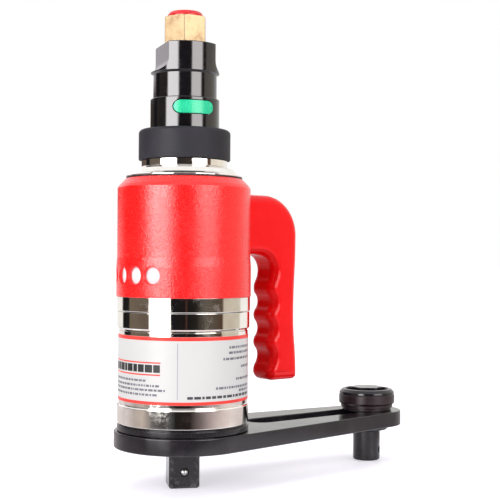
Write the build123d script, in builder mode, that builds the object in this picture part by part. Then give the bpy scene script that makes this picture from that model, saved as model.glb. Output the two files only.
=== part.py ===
"""Pneumatic torque multiplier: an air motor drives a three-stage planetary gearbox with a square output, and a slotted
arm with a sliding foot takes the reaction. Millimetres, +Z up, origin at the centre of the square drive's tip, +X along
the reaction arm."""

from build123d import *
import math
import os

os.makedirs("parts", exist_ok=True)

# ---------------------------------------------------------------- driving dimensions
SQUARE = 19.05            # three-quarter inch male square, across flats
SQUARE_TURN = -27.0       # the square's rest angle about Z
SQUARE_LEN = 26.3
DETENT_Z = 10.1

ARM_Z0, ARM_T = 25.3, 10.2
ARM_R = 43.0              # arm's disc round the drive
ARM_END_R = 24.0
ARM_LEN = 159.0           # drive axis to foot axis
SLOT_W = 19.4
SLOT_IN = 62.7            # inner slot arc centre

HUB_R = 41.1
CASE_R = 40.3
LOW_RING_R = 41.0
LABEL_R = 40.6
LOCK_R = 41.3
SWIVEL_R = 41.6
RED_R0, RED_R1 = 42.0, 41.6

Z_HUB0, Z_HUB1 = 35.8, 39.4
Z_CASE0, Z_CASE1 = 40.6, 98.8
Z_LOCK1 = 109.5
Z_SWIVEL0, Z_SWIVEL1 = 109.9, 118.5
Z_RED1 = 191.8
Z_CAP1 = 203.0
Z_RING0, Z_RING1 = 203.3, 222.3
Z_VALVE1 = 275.2
Z_BUSH1 = 292.7

RING_R = 28.7
VALVE_R = 21.6
VALVE_MID_R = 19.9
FLAT_AF = 30.0
BUSH_AF = 25.0

BUTTON_DEG = -108.0       # where the start button faces
FLAT_DEG = BUTTON_DEG - 90.0
BUTTON_Z = 234.8
BUTTON_W, BUTTON_H = 25.2, 7.9
HOLE_DEG0, HOLE_STEP, HOLE_N = 208.4, -18.0, 4
HOLE_Z, HOLE_R = 131.8, 5.1
HEX_DEG = -127.0          # a corner of the inlet hexagon points this way
HANDLE_DEG = 0.0

MODULE = 1.1
PRESSURE = math.radians(25)
N_SUN, N_PLANET, N_RING = 15, 21, 57
ORBIT = MODULE * (N_SUN + N_PLANET) / 2
TRIM = 0.12               # tooth thinning, for backlash
PLANET_PIN_R = 4.0


# ---------------------------------------------------------------- helpers
def radial(angle, z, r=0.0):
    """Plane whose normal points outward at the given angle, with its own Y up."""
    a = math.radians(angle)
    return Plane(
        origin=(r * math.cos(a), r * math.sin(a), z),
        x_dir=(-math.sin(a), math.cos(a), 0),
        z_dir=(math.cos(a), math.sin(a), 0),
    )


def level(z, angle=0.0):
    """Horizontal plane at height z, turned about Z."""
    a = math.radians(angle)
    return Plane(origin=(0, 0, z), x_dir=(math.cos(a), math.sin(a), 0), z_dir=(0, 0, 1))


def inv(t):
    return math.tan(t) - t


def tooth_points(n, add, ded, thin, steps=3, phase=0.0):
    """Closed outline of an involute gear, one tooth centred on the phase angle."""
    rp = MODULE * n / 2
    rb = rp * math.cos(PRESSURE)
    rt, rr = rp + add, rp - ded
    half = math.pi / (2 * n) - thin / (2 * rp)
    start = max(rb, rr)
    radii = [start + (rt - start) * i / (steps - 1) for i in range(steps)]
    flank = []
    for r in radii:
        t = math.acos(min(1.0, rb / r))
        flank.append((r, half + inv(PRESSURE) - inv(t)))
    if rr < rb:
        flank.insert(0, (rr, flank[0][1]))
    pts = []
    for k in range(n):
        c = 2 * math.pi * k / n + phase
        for r, w in flank:
            pts.append((r * math.cos(c - w), r * math.sin(c - w)))
        for r, w in reversed(flank):
            pts.append((r * math.cos(c + w), r * math.sin(c + w)))
    return pts


def wave_points(n, r0, r1, share, phase=0.0):
    """Closed outline of a straight-sided spline or knurl with n teeth between two radii."""
    pts = []
    for k in range(n):
        c = 2 * math.pi * k / n + phase
        p = 2 * math.pi / n
        for r, o in (
            (r0, -0.5 * (share + 0.30) * p),
            (r1, -0.5 * share * p),
            (r1, 0.5 * share * p),
            (r0, 0.5 * (share + 0.30) * p),
        ):
            pts.append((r * math.cos(c + o), r * math.sin(c + o)))
    return pts


def write(builder, name):
    builder.part.label = name
    export_step(builder.part, f"parts/{name}.step")


# ---------------------------------------------------------------- output spindle, its carrier and detent
with BuildPart() as output_spindle:
    with BuildSketch(level(0, SQUARE_TURN)):
        Rectangle(SQUARE, SQUARE)
    extrude(amount=SQUARE_LEN)
    chamfer(output_spindle.edges().filter_by(Axis.Z), 1.1)
    chamfer(output_spindle.faces().sort_by(Axis.Z)[0].edges(), 1.0)
    with BuildSketch(Plane.XZ):
        with BuildLine():
            Polyline(
                (0, SQUARE_LEN), (16.2, SQUARE_LEN), (16.7, SQUARE_LEN + 0.5), (16.7, 41), (17, 41.2), (17, 54),
                (20, 54.5), (20, 57), (28.5, 57), (28.5, 62.5), (0, 62.5), close=True,
            )
        make_face()
    revolve(axis=Axis.Z)
    with BuildSketch(level(57)):
        with PolarLocations(ORBIT, 3):
            Circle(PLANET_PIN_R + 0.02)
    extrude(amount=5.5, mode=Mode.SUBTRACT)
    with BuildSketch(radial(SQUARE_TURN - 90, DETENT_Z, 2.6)):
        Circle(2.7)
    extrude(amount=12, mode=Mode.SUBTRACT)
write(output_spindle, "output_spindle")

with BuildPart() as output_carrier_plate:
    with BuildSketch(level(79.5)):
        Circle(28.5)
        Circle(10.2, mode=Mode.SUBTRACT)
        with PolarLocations(ORBIT, 3):
            Circle(PLANET_PIN_R + 0.02, mode=Mode.SUBTRACT)
    extrude(amount=3.0)
    chamfer(output_carrier_plate.edges().filter_by(GeomType.CIRCLE).sort_by(SortBy.RADIUS)[-2:], 0.5)
write(output_carrier_plate, "output_carrier_plate")

with BuildPart() as output_planet_pins:
    with BuildSketch(level(57.2)):
        with PolarLocations(ORBIT, 3):
            Circle(PLANET_PIN_R)
    extrude(amount=25.3)
write(output_planet_pins, "output_planet_pins")

with BuildPart() as output_inner_race:
    with BuildSketch(Plane.XZ):
        with BuildLine():
            Polyline((17.02, 42.2), (19.2, 42.2), (19.2, 51.8), (17.02, 51.8), close=True)
        make_face()
    revolve(axis=Axis.Z)
write(output_inner_race, "output_inner_race")

d_ang = math.radians(SQUARE_TURN - 90)
with BuildPart() as detent_ball:
    with Locations((8.1 * math.cos(d_ang), 8.1 * math.sin(d_ang), DETENT_Z)):
        Sphere(2.6)
write(detent_ball, "detent_ball")

with BuildPart() as detent_spring:
    with BuildLine():
        coil = Helix(
            pitch=0.9, height=2.2, radius=1.9,
            center=(2.9 * math.cos(d_ang), 2.9 * math.sin(d_ang), DETENT_Z),
            direction=(math.cos(d_ang), math.sin(d_ang), 0),
        )
    with BuildSketch(Plane(origin=coil @ 0, z_dir=coil % 0)):
        Circle(0.25)
    sweep(path=coil, is_frenet=True)
write(detent_spring, "detent_spring")

# ---------------------------------------------------------------- gearbox casing and what is fixed to it
with BuildPart() as gearbox_casing:
    with BuildSketch(Plane.XZ):
        with BuildLine():
            Polyline(
                (26.02, Z_CASE0), (LOW_RING_R - 0.5, Z_CASE0), (LOW_RING_R, Z_CASE0 + 0.5), (LOW_RING_R, 51.6),
                (LOW_RING_R - 0.6, 52.2), (39.7, 52.4), (39.7, 53.0), (CASE_R, 53.4), (CASE_R, 97.6), (39.9, 98.0),
                (39.9, Z_CASE1),
                (36.52, Z_CASE1), (36.52, 56.4), (22.5, 56.4), (22.5, 52.0), (26.02, 52.0), close=True,
            )
        make_face()
    revolve(axis=Axis.Z)
    with BuildSketch(level(Z_CASE0)):
        with PolarLocations(33.5, 6, start_angle=30):
            Circle(2.0)
    extrude(amount=9, mode=Mode.SUBTRACT)
write(gearbox_casing, "gearbox_casing")

with BuildPart() as reaction_spline_hub:
    with BuildSketch(level(ARM_Z0)):
        with BuildLine():
            Polyline(*wave_points(36, 29.4, 31.0, 0.32), close=True)
        make_face()
    extrude(amount=Z_HUB0 - ARM_Z0)
    with BuildSketch(Plane.XZ):
        with BuildLine():
            Polyline(
                (20, ARM_Z0 + 3), (29.4, ARM_Z0 + ARM_T - 1), (29.4, ARM_Z0 + ARM_T), (39.0, ARM_Z0 + ARM_T), (39.0, Z_HUB0), (HUB_R - 0.4, Z_HUB0),
                (HUB_R, Z_HUB0 + 0.4), (HUB_R, Z_HUB1 - 0.6), (HUB_R - 0.6, Z_HUB1), (39.6, Z_HUB1), (39.6, Z_CASE0),
                (20, Z_CASE0), close=True,
            )
        make_face()
    revolve(axis=Axis.Z)
    with BuildSketch(Plane.XZ):
        with BuildLine():
            Polyline((28.2, 26.6), (34, 26.6), (34, 28.2), (28.2, 28.2), close=True)
        make_face()
    revolve(axis=Axis.Z, mode=Mode.SUBTRACT)
    with BuildSketch(Plane.XZ):
        with BuildLine():
            Polyline((0, 20), (17.4, 20), (17.4, 36.6), (22.52, 36.6), (22.52, 45), (0, 45), close=True)
        make_face()
    revolve(axis=Axis.Z, mode=Mode.SUBTRACT)
    with BuildSketch(level(Z_HUB0 - 1)):
        with PolarLocations(33.5, 6, start_angle=30):
            Circle(3.7)
    extrude(amount=3.6, mode=Mode.SUBTRACT)
    with BuildSketch(level(Z_HUB0 - 1)):
        with PolarLocations(33.5, 6, start_angle=30):
            Circle(2.15)
    extrude(amount=8, mode=Mode.SUBTRACT)
write(reaction_spline_hub, "reaction_spline_hub")

with BuildPart() as hub_screws:
    with BuildSketch(level(35.7)):
        with PolarLocations(33.5, 6, start_angle=30):
            Circle(3.5)
    extrude(amount=2.68)
    with BuildSketch(level(38.3)):
        with PolarLocations(33.5, 6, start_angle=30):
            Circle(1.98)
    extrude(amount=10)
    with BuildSketch(level(35.7)):
        with PolarLocations(33.5, 6, start_angle=30):
            RegularPolygon(1.7, 6)
    extrude(amount=1.6, mode=Mode.SUBTRACT)
write(hub_screws, "hub_screws")

with BuildPart() as output_seal:
    with BuildSketch(Plane.XZ):
        with BuildLine():
            Polyline(
                (16.75, 38.6), (17.5, 37.2), (22.5, 37.2), (22.5, 40.6), (21.2, 40.6), (21.2, 38.6), (18.3, 38.6),
                (18.3, 40.0), (17.4, 40.0), close=True,
            )
        make_face()
    revolve(axis=Axis.Z)
write(output_seal, "output_seal")

with BuildPart() as output_outer_race:
    with BuildSketch(Plane.XZ):
        with BuildLine():
            Polyline((23.1, 42.2), (26.0, 42.2), (26.0, 51.8), (23.1, 51.8), close=True)
        make_face()
    revolve(axis=Axis.Z)
write(output_outer_race, "output_outer_race")

with BuildPart() as output_bearing_balls:
    with Locations((0, 0, 47)):
        with PolarLocations(21.15, 20):
            Sphere(1.88)
write(output_bearing_balls, "output_bearing_balls")

with BuildPart() as annulus_gear:
    with BuildSketch(level(56.6)):
        Circle(36.5)
        with BuildLine():
            Polyline(*tooth_points(N_RING, 1.30, 0.95, -TRIM, steps=3, phase=0.0), close=True)
        make_face(mode=Mode.SUBTRACT)
    extrude(amount=116.4 - 56.6)
write(annulus_gear, "annulus_gear")

with BuildPart() as data_label:
    with BuildSketch(level(55.2)):
        Circle(LABEL_R)
        Circle(CASE_R, mode=Mode.SUBTRACT)
    extrude(amount=40.4)
write(data_label, "data_label")

with BuildPart() as lock_ring:
    with BuildSketch(Plane.XZ):
        with BuildLine():
            Polyline(
                (36.55, Z_CASE1), (LOCK_R - 0.9, Z_CASE1), (LOCK_R, Z_CASE1 + 0.9), (LOCK_R, Z_LOCK1 - 0.3),
                (LOCK_R - 0.3, Z_LOCK1), (36.55, Z_LOCK1), close=True,
            )
        make_face()
    revolve(axis=Axis.Z)
write(lock_ring, "lock_ring")

# ---------------------------------------------------------------- reaction arm, circlip and foot
taper = math.asin((ARM_R - ARM_END_R) / ARM_LEN)
ux, uy = math.sin(taper), math.cos(taper)
with BuildPart() as reaction_arm:
    with BuildSketch(level(ARM_Z0)):
        Circle(ARM_R)
        with Locations((ARM_LEN, 0)):
            Circle(ARM_END_R)
        with BuildLine():
            Polyline(
                (ARM_R * ux, ARM_R * uy), (ARM_LEN + ARM_END_R * ux, ARM_END_R * uy),
                (ARM_LEN + ARM_END_R * ux, -ARM_END_R * uy), (ARM_R * ux, -ARM_R * uy), close=True,
            )
        make_face()
    extrude(amount=ARM_T)
    fillet(reaction_arm.edges().group_by(Axis.Z)[-1] + reaction_arm.edges().group_by(Axis.Z)[0], 0.7)
    with BuildSketch(level(ARM_Z0)):
        with Locations(((ARM_LEN + SLOT_IN) / 2, 0)):
            SlotCenterToCenter(ARM_LEN - SLOT_IN, SLOT_W)
    extrude(amount=ARM_T, mode=Mode.SUBTRACT)
    with BuildSketch(level(ARM_Z0)):
        with BuildLine():
            Polyline(*wave_points(36, 29.55, 31.15, 0.35), close=True)
        make_face()
    extrude(amount=ARM_T, mode=Mode.SUBTRACT)
    with BuildSketch(level(ARM_Z0)):
        Circle(33.6)
    extrude(amount=2.8, mode=Mode.SUBTRACT)
write(reaction_arm, "reaction_arm")

with BuildPart() as reaction_circlip:
    with BuildSketch(level(26.7)):
        Circle(32.4)
        Circle(28.3, mode=Mode.SUBTRACT)
        with BuildLine():
            Polyline((0, 0), (-40, 7), (-40, -7), close=True)
        make_face(mode=Mode.SUBTRACT)
    extrude(amount=1.4)
write(reaction_circlip, "reaction_circlip")

with BuildPart() as foot_post:
    with BuildSketch(Plane.XZ):
        with BuildLine():
            Polyline(
                (0, 0), (8.4, 0), (9.5, 1.1), (9.5, 20.8), (9.1, 20.9), (9.1, 21.7), (13.9, 21.7), (14.6, 22.4), (14.6, 25.2),
                (9.2, 25.2), (9.2, 35.2), (7.9, 35.3), (7.9, 47.0), (7.3, 47.6), (0, 47.6), close=True,
            )
        make_face()
    revolve(axis=Axis.Z)
    with BuildSketch(radial(-57, 7.4)):
        Circle(2.4)
    extrude(amount=14, mode=Mode.SUBTRACT)
foot_post.part.position = (ARM_LEN, 0, 0)
write(foot_post, "foot_post")

with BuildPart() as foot_washer:
    with BuildSketch(level(35.6)):
        with Locations((ARM_LEN, 0)):
            Circle(17.2)
            Circle(8.05, mode=Mode.SUBTRACT)
    extrude(amount=1.8)
    chamfer(foot_washer.edges().filter_by(GeomType.CIRCLE).sort_by(SortBy.RADIUS)[-2:], 0.4)
write(foot_washer, "foot_washer")

with BuildPart() as foot_knob:
    with BuildSketch(Plane.XZ):
        with BuildLine():
            Polyline(
                (8.1, 37.5), (17.9, 37.5), (18.2, 37.8), (18.2, 39.4), (18.9, 40.0), (19.6, 40.7), (19.6, 45.9),
                (19.4, 46.3), (19.15, 46.5), (19.15, 46.8), (19.4, 47.1), (19.35, 48.2), (18.6, 49.4), (17.4, 50.2),
                (15.4, 50.4), (14.9, 49.9), (14.9, 46.8), (8.1, 46.8),
                close=True,
            )
        make_face()
    revolve(axis=Axis.Z)
    with BuildSketch(level(46.4)):
        RegularPolygon(11.4, 6, rotation=22)
        Circle(8.1, mode=Mode.SUBTRACT)
    extrude(amount=5.2)
    chamfer(foot_knob.faces().sort_by(Axis.Z)[-1].outer_wire().edges(), 0.7)
foot_knob.part.position = (ARM_LEN, 0, 0)
write(foot_knob, "foot_knob")


# ---------------------------------------------------------------- planetary stages
def planet(name, k, z0, width):
    a = 2 * math.pi * k / 3
    cx, cy = ORBIT * math.cos(a), ORBIT * math.sin(a)
    with BuildPart() as gear:
        with BuildSketch(Plane(origin=(cx, cy, z0), x_dir=(-math.cos(a), -math.sin(a), 0), z_dir=(0, 0, 1))):
            with BuildLine():
                Polyline(*tooth_points(N_PLANET, 1.0, 1.3, TRIM, steps=3, phase=math.pi / N_PLANET), close=True)
            make_face()
            Circle(PLANET_PIN_R + 0.06, mode=Mode.SUBTRACT)
        extrude(amount=width)
    write(gear, name)


for i in range(3):
    planet(f"output_planet_{i + 1}", i, 63.0, 16.0)
    planet(f"second_planet_{i + 1}", i, 87.7, 10.0)
    planet(f"first_planet_{i + 1}", i, 102.7, 7.5)

with BuildPart() as second_carrier:
    with BuildSketch(level(63.2)):
        with BuildLine():
            Polyline(*tooth_points(N_SUN, 1.0, 1.3, TRIM, steps=3), close=True)
        make_face()
    extrude(amount=20.2)
    with BuildSketch(level(83.2)):
        Circle(28.5)
    extrude(amount=4.0)
    with BuildSketch(level(83.2)):
        with PolarLocations(ORBIT, 3):
            Circle(PLANET_PIN_R + 0.02)
    extrude(amount=4.0, mode=Mode.SUBTRACT)
write(second_carrier, "second_carrier")

with BuildPart() as second_planet_pins:
    with BuildSketch(level(83.2)):
        with PolarLocations(ORBIT, 3):
            Circle(PLANET_PIN_R)
    extrude(amount=15.0)
write(second_planet_pins, "second_planet_pins")

with BuildPart() as first_carrier:
    with BuildSketch(level(88.0)):
        with BuildLine():
            Polyline(*tooth_points(N_SUN, 1.0, 1.3, TRIM, steps=3), close=True)
        make_face()
    extrude(amount=11.0)
    with BuildSketch(level(98.7)):
        Circle(28.5)
    extrude(amount=3.5)
    with BuildSketch(level(98.7)):
        with PolarLocations(ORBIT, 3):
            Circle(PLANET_PIN_R + 0.02)
    extrude(amount=3.5, mode=Mode.SUBTRACT)
write(first_carrier, "first_carrier")

with BuildPart() as first_planet_pins:
    with BuildSketch(level(98.7)):
        with PolarLocations(ORBIT, 3):
            Circle(PLANET_PIN_R)
    extrude(amount=12.0)
write(first_planet_pins, "first_planet_pins")

# ---------------------------------------------------------------- air motor
with BuildPart() as motor_rotor:
    with BuildSketch(level(102.9)):
        with BuildLine():
            Polyline(*tooth_points(N_SUN, 1.0, 1.3, TRIM, steps=3), close=True)
        make_face()
    extrude(amount=8.3)
    with BuildSketch(Plane.XZ):
        with BuildLine():
            Polyline(
                (0, 111.2), (6.0, 111.2), (6.0, 131.2), (17.9, 131.2), (17.9, 179.2), (6.0, 179.2), (6.0, 188.0),
                (0, 188.0), close=True,
            )
        make_face()
    revolve(axis=Axis.Z)
    with BuildSketch(level(131.2)):
        with PolarLocations(14.0, 5):
            Rectangle(9.0, 2.1)
    extrude(amount=48, mode=Mode.SUBTRACT)
write(motor_rotor, "motor_rotor")

with BuildPart() as rotor_vanes:
    with BuildSketch(level(131.5)):
        with PolarLocations(13.65, 5):
            Rectangle(7.9, 2.0)
    extrude(amount=47.4)
write(rotor_vanes, "rotor_vanes")

with BuildPart() as rotor_inner_races:
    with BuildSketch(Plane.XZ):
        for z in (124.8, 181.0):
            with BuildLine():
                Polyline((6.02, z), (8.1, z), (8.1, z + 5), (6.02, z + 5), close=True)
            make_face()
    revolve(axis=Axis.Z)
write(rotor_inner_races, "rotor_inner_races")

with BuildPart() as rotor_outer_races:
    with BuildSketch(Plane.XZ):
        for z in (124.8, 181.0):
            with BuildLine():
                Polyline((11.0, z), (13.0, z), (13.0, z + 5), (11.0, z + 5), close=True)
            make_face()
    revolve(axis=Axis.Z)
write(rotor_outer_races, "rotor_outer_races")

with BuildPart() as rotor_bearing_balls:
    for z in (127.3, 183.5):
        with Locations((0, 0, z)):
            with PolarLocations(9.55, 10):
                Sphere(1.38)
write(rotor_bearing_balls, "rotor_bearing_balls")

with BuildPart() as motor_liner:
    with BuildSketch(level(130.4)):
        Circle(29.4)
        with Locations((1.9, 0)):
            Circle(20.0, mode=Mode.SUBTRACT)
        with PolarLocations(25.5, 2, start_angle=90):
            Circle(1.7, mode=Mode.SUBTRACT)
    extrude(amount=49.8)
    for z in (134.0, 138.0, 142.0):
        with BuildSketch(radial(180, z, 15)):
            Rectangle(14, 2.0)
        extrude(amount=20, mode=Mode.SUBTRACT)
write(motor_liner, "motor_liner")

with BuildPart() as lower_end_plate:
    with BuildSketch(Plane.XZ):
        with BuildLine():
            Polyline(
                (6.4, 130.3), (6.4, 129.9), (13.02, 129.9), (13.02, 124.2), (31.2, 124.2), (31.2, 130.3), close=True
            )
        make_face()
    revolve(axis=Axis.Z)
write(lower_end_plate, "lower_end_plate")

with BuildPart() as upper_end_plate:
    with BuildSketch(Plane.XZ):
        with BuildLine():
            Polyline(
                (6.4, 180.3), (31.2, 180.3), (31.2, 187.3), (13.02, 187.3), (13.02, 180.9), (6.4, 180.9), close=True
            )
        make_face()
    revolve(axis=Axis.Z)
write(upper_end_plate, "upper_end_plate")

with BuildPart() as exhaust_silencer:
    with BuildSketch(level(124.3)):
        Circle(39.7)
        Circle(34.3, mode=Mode.SUBTRACT)
    extrude(amount=16.4)
write(exhaust_silencer, "exhaust_silencer")

# ---------------------------------------------------------------- motor housing
with BuildPart() as swivel_ring:
    with BuildSketch(Plane.XZ):
        with BuildLine():
            Polyline(
                (36.56, Z_SWIVEL0), (SWIVEL_R - 0.3, Z_SWIVEL0), (SWIVEL_R, Z_SWIVEL0 + 0.3),
                (SWIVEL_R, Z_SWIVEL1), (33.95, Z_SWIVEL1), (33.95, 124.2), (31.0, 124.2), (31.0, 116.9),
                (36.56, 116.9), close=True,
            )
        make_face()
    revolve(axis=Axis.Z)
write(swivel_ring, "swivel_ring")

with BuildPart() as motor_housing:
    with BuildSketch(Plane.XZ):
        with BuildLine():
            Polyline(
                (34.0, Z_SWIVEL1), (RED_R0 - 0.3, Z_SWIVEL1), (RED_R0, Z_SWIVEL1 + 0.3), (RED_R0, 137.0),
                (RED_R1, 139.0), (RED_R1, 185.4), (41.2, 186.6), (40.3, 187.6), (36.9, 191.4), (36.3, Z_RED1),
                (30.0, Z_RED1), (30.0, 187.5), (34.0, 187.5), (34.0, 141.0), (39.8, 141.0), (39.8, 124.1), (34.0, 124.1), close=True,
            )
        make_face()
    revolve(axis=Axis.Z)
    for k in range(HOLE_N):
        with BuildSketch(radial(HOLE_DEG0 + k * HOLE_STEP, HOLE_Z, 20)):
            Circle(HOLE_R)
        extrude(amount=30, mode=Mode.SUBTRACT)
    with BuildSketch(radial(HANDLE_DEG, 160, 30)):
        with Locations((0, -5), (0, 13)):
            Circle(3.1)
    extrude(amount=15, mode=Mode.SUBTRACT)
    with BuildSketch(radial(HANDLE_DEG, 160, 30)):
        with Locations((0, -5), (0, 13)):
            Circle(5.3)
    extrude(amount=6.5, mode=Mode.SUBTRACT)
write(motor_housing, "motor_housing")

with BuildPart() as handle_bolts:
    with BuildSketch(radial(HANDLE_DEG, 160, 33.4)):
        with Locations((0, -5), (0, 13)):
            Circle(5.0)
    extrude(amount=3.1)
    with BuildSketch(radial(HANDLE_DEG, 160, 36.4)):
        with Locations((0, -5), (0, 13)):
            Circle(2.98)
    extrude(amount=20)
    with BuildSketch(radial(HANDLE_DEG, 160, 33.4)):
        with Locations((0, -5), (0, 13)):
            RegularPolygon(2.8, 6)
    extrude(amount=2.2, mode=Mode.SUBTRACT)
write(handle_bolts, "handle_bolts")

# side profile of the handle: distance from the tool's axis, height; the finger grooves are tangent arcs
H_TOP, H_BOT = 183.7, 62.3
G_OUT, G_WAIST, G_BOT = 85.4, 83.8, 86.0
G_IN, DIP = 61.4, 3.3
KNOTS = (68.0, 78.6, 87.2, 96.3, 105.0, 113.9, 122.5, 134.5)
WAIST_Z = 106.0
TURN_R, CROOK_R, HEEL_R, TOE_R = 26.0, 10.5, 6.0, 5.7
H_HALF = 11.2
with BuildPart() as handle:
    with BuildSketch(Plane.XZ.offset(-H_HALF)):
        with BuildLine():
            Line((36.0, H_TOP), (G_OUT - TURN_R, H_TOP))
            RadiusArc((G_OUT - TURN_R, H_TOP), (G_OUT, H_TOP - TURN_R), TURN_R)
            upper = ((G_OUT + G_WAIST) / 2, (H_TOP - TURN_R + WAIST_Z) / 2)
            TangentArc((G_OUT, H_TOP - TURN_R), upper, tangent=(0, -1))
            TangentArc((G_WAIST, WAIST_Z), upper, tangent=(0, 1))
            lower = ((G_BOT + G_WAIST) / 2, (WAIST_Z + H_BOT + HEEL_R) / 2)
            TangentArc((G_WAIST, WAIST_Z), lower, tangent=(0, -1))
            TangentArc((G_BOT, H_BOT + HEEL_R), lower, tangent=(0, 1))
            RadiusArc((G_BOT, H_BOT + HEEL_R), (G_BOT - HEEL_R, H_BOT), HEEL_R)
            Line((G_BOT - HEEL_R, H_BOT), (G_IN + TOE_R, H_BOT))
            RadiusArc((G_IN + TOE_R, H_BOT), (G_IN, KNOTS[0]), TOE_R)
            for i in range(len(KNOTS) - 1):
                low = (G_IN + (DIP if i % 2 else 0), KNOTS[i])
                high = (G_IN + (0 if i % 2 else DIP), KNOTS[i + 1])
                half = ((low[0] + high[0]) / 2, (low[1] + high[1]) / 2)
                TangentArc(low, half, tangent=(0, 1))
                TangentArc(high, half, tangent=(0, -1))
            RadiusArc((G_IN + DIP, KNOTS[-1]), (G_IN + DIP - CROOK_R, KNOTS[-1] + CROOK_R), -CROOK_R)
            Line((G_IN + DIP - CROOK_R, KNOTS[-1] + CROOK_R), (36.0, KNOTS[-1] + CROOK_R))
            Line((36.0, KNOTS[-1] + CROOK_R), (36.0, H_TOP))
        make_face()
    extrude(amount=2 * H_HALF)
    fillet(
        handle.edges().filter_by(lambda e: abs(abs((e @ 0.5).Y) - H_HALF) < 0.01)
        .filter_by(lambda e: (e @ 0.5).X > 36.5), 6.0,
    )
    with BuildSketch(level(50)):
        Circle(RED_R1)
    extrude(amount=140, mode=Mode.SUBTRACT)
    with BuildSketch(radial(HANDLE_DEG, 160, 30)):
        with Locations((0, -5), (0, 13)):
            Circle(3.0)
    extrude(amount=26.6, mode=Mode.SUBTRACT)
write(handle, "handle")

with BuildPart() as cap_gasket:
    with BuildSketch(level(Z_RED1)):
        Circle(36.2)
        Circle(30.1, mode=Mode.SUBTRACT)
    extrude(amount=0.9)
write(cap_gasket, "cap_gasket")

with BuildPart() as motor_cap:
    with BuildSketch(Plane.XZ):
        with BuildLine():
            Polyline(
                (14.5, 188.2), (29.9, 188.2), (29.9, Z_RED1 + 0.9), (36.4, Z_RED1 + 0.9), (36.4, 193.3), (35.4, 193.9),
                (32.9, 194.7), (30.8, 197.6), (26.9, 198.9), (26.9, Z_CAP1), (14.5, Z_CAP1), close=True,
            )
        make_face()
    revolve(axis=Axis.Z)
write(motor_cap, "motor_cap")

# ---------------------------------------------------------------- valve head
with BuildPart() as valve_body:
    with BuildSketch(Plane.XZ):
        with BuildLine():
            Polyline(
                (14.5, Z_CAP1), (21.3, Z_CAP1), (21.3, Z_RING1 + 0.6), (VALVE_R, Z_RING1 + 0.6), (VALVE_R, 240.6),
                (VALVE_R - 0.8, 241.4), (VALVE_MID_R, 241.4), (VALVE_MID_R, 256.4), (20.4, 256.9),
                (VALVE_R - 0.1, 257.9), (VALVE_R - 0.1, Z_VALVE1 - 0.8), (VALVE_R - 0.9, Z_VALVE1),
                (10.6, Z_VALVE1), (10.6, 250.0), (5.0, 246.0), (5.0, 224.0), (14.5, 224.0), close=True,
            )
        make_face()
    revolve(axis=Axis.Z)
    for side in (0, 180):
        turn = math.radians(FLAT_DEG + side)
        with BuildSketch(Plane(origin=(0, 0, 0), x_dir=(math.cos(turn), math.sin(turn), 0),
                               z_dir=(math.sin(turn), -math.cos(turn), 0))):
            with BuildLine():
                CenterArc((FLAT_AF / 2 + 6.7, 264.7), 6.7, 180, 90)
                Polyline((FLAT_AF / 2 + 6.7, 258.0), (40, 258.0), (40, 290), (FLAT_AF / 2, 290), (FLAT_AF / 2, 264.7))
            make_face()
        extrude(amount=32, both=True, mode=Mode.SUBTRACT)
    # pocket for the button and bore for its stem
    with BuildSketch(radial(BUTTON_DEG, BUTTON_Z, 12.6)):
        SlotOverall(BUTTON_W + 0.9, BUTTON_H + 0.9)
    extrude(amount=12, mode=Mode.SUBTRACT)
    with BuildSketch(radial(BUTTON_DEG, BUTTON_Z, 3.0)):
        Circle(2.6)
    extrude(amount=12, mode=Mode.SUBTRACT)
    # window for the ring's pin
    with BuildSketch(Plane(origin=(0, 0, 0), x_dir=(math.cos(math.radians(58)), math.sin(math.radians(58)), 0),
                           z_dir=(math.sin(math.radians(58)), -math.cos(math.radians(58)), 0))):
        with Locations((17.6, 212.0)):
            Rectangle(9.0, 4.0)
    revolve(axis=Axis.Z, revolution_arc=84, mode=Mode.SUBTRACT)
write(valve_body, "valve_body")

with BuildPart() as inlet_bush:
    with BuildSketch(level(Z_VALVE1, HEX_DEG)):
        RegularPolygon(BUSH_AF / 2, 6, major_radius=False)
    extrude(amount=Z_BUSH1 - Z_VALVE1)
    with BuildSketch(Plane.XZ):
        with BuildLine():
            Polyline(
                (13.6, Z_BUSH1 + 1), (13.6, Z_BUSH1), (15.5, Z_BUSH1 - 1.1), (18, Z_BUSH1 - 1.1), (18, Z_BUSH1 + 1),
                close=True,
            )
        make_face()
    revolve(axis=Axis.Z, mode=Mode.SUBTRACT)
    with BuildSketch(level(Z_VALVE1 - 14)):
        Circle(10.55)
    extrude(amount=14)
    with BuildSketch(level(Z_VALVE1 - 14)):
        Circle(7.0)
    extrude(amount=14, mode=Mode.SUBTRACT)
    with BuildSketch(level(Z_VALVE1 - 2)):
        Circle(9.8)
    extrude(amount=1.8, mode=Mode.SUBTRACT)
    with BuildSketch(level(Z_VALVE1 - 1)):
        Circle(9.3)
    extrude(amount=30, mode=Mode.SUBTRACT)
    with BuildSketch(level(Z_BUSH1 - 5.7)):
        Circle(10.55)
    extrude(amount=8, mode=Mode.SUBTRACT)
write(inlet_bush, "inlet_bush")

with BuildPart() as inlet_screen:
    with BuildSketch(level(Z_VALVE1 - 3.4)):
        Circle(6.95)
        with GridLocations(2.4, 2.4, 4, 4):
            Rectangle(1.5, 1.5, mode=Mode.SUBTRACT)
    extrude(amount=0.8)
write(inlet_screen, "inlet_screen")

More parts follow.
